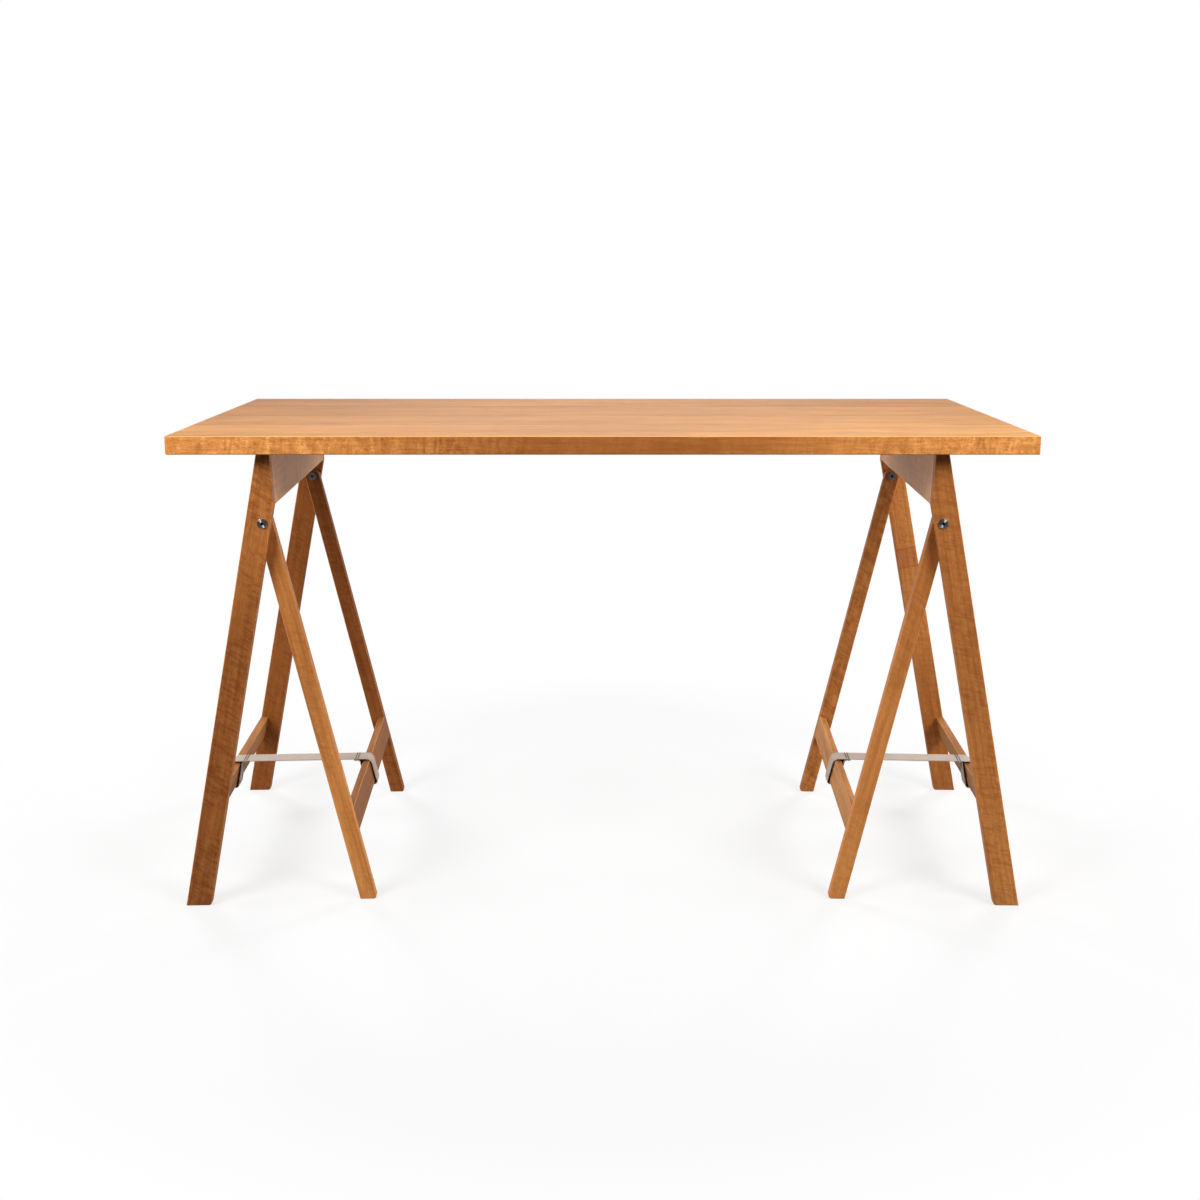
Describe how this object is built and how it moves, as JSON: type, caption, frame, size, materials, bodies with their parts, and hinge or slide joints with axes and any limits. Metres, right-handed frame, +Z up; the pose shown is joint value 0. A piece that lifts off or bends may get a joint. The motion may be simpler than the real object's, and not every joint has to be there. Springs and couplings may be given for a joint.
{
  "type": "folding trestle table",
  "caption": "Wooden table with a loose board top on folding A-frame trestles, whose nested inner frames swing on pivot bolts and are held open by webbing straps.",
  "frame": {"origin": "on the floor under the middle of the top", "axes": "+X along the length of the top, +Y from front to back, +Z up"},
  "size_m": [1.365, 0.68, 0.75],
  "materials": {
    "top_wood": "oiled, fine grain",
    "frame_wood": "oiled, flecked grain",
    "dowel_wood": "raw",
    "webbing": "woven cotton",
    "bright_metal": "polished",
    "washer_steel": "plain"
  },
  "bodies": {
    "left_outer_frame": {"left_outer_leg_back": "frame_wood", "left_outer_leg_front": "frame_wood", "left_outer_rail": "frame_wood", "left_outer_rail_dowels": "dowel_wood", "left_pivot_bolts": "bright_metal", "left_pivot_sleeve_nuts": "bright_metal", "left_pivot_washers": "washer_steel", "left_strap": "webbing", "left_top_panel": "frame_wood", "left_top_panel_dowels": "dowel_wood"},
    "left_inner_frame": {"left_inner_leg_back": "frame_wood", "left_inner_leg_front": "frame_wood", "left_inner_rail": "frame_wood", "left_inner_rail_dowels": "dowel_wood"},
    "tabletop": {"tabletop_board_1": "top_wood", "tabletop_board_2": "top_wood", "tabletop_board_3": "top_wood", "tabletop_board_4": "top_wood"},
    "right_outer_frame": {"right_outer_leg_back": "frame_wood", "right_outer_leg_front": "frame_wood", "right_outer_rail": "frame_wood", "right_outer_rail_dowels": "dowel_wood", "right_pivot_bolts": "bright_metal", "right_pivot_sleeve_nuts": "bright_metal", "right_pivot_washers": "washer_steel", "right_strap": "webbing", "right_top_panel": "frame_wood", "right_top_panel_dowels": "dowel_wood"},
    "right_inner_frame": {"right_inner_leg_back": "frame_wood", "right_inner_leg_front": "frame_wood", "right_inner_rail": "frame_wood", "right_inner_rail_dowels": "dowel_wood"}
  },
  "joints": [
    {"name": "tabletop_lift", "type": "slide", "parent": "left_outer_frame", "child": "tabletop", "axis": [0, 0, 1], "range_m": [0, 0.3]},
    {"name": "right_trestle_shift", "type": "slide", "parent": "left_outer_frame", "child": "right_outer_frame", "axis": [1, 0, 0], "range_m": [-0.3, 0.1]},
    {"name": "left_fold", "type": "hinge", "parent": "left_outer_frame", "child": "left_inner_frame", "pos_m": [-0.528, 0, 0.613], "axis": [-0.0349, 0.9994, 0], "range_deg": [0, 23.9], "deforming": ["left_strap"]},
    {"name": "right_fold", "type": "hinge", "parent": "right_outer_frame", "child": "right_inner_frame", "pos_m": [0.528, 0, 0.613], "axis": [-0.0349, -0.9994, 0], "range_deg": [0, 23.9], "deforming": ["right_strap"]}
  ]
}
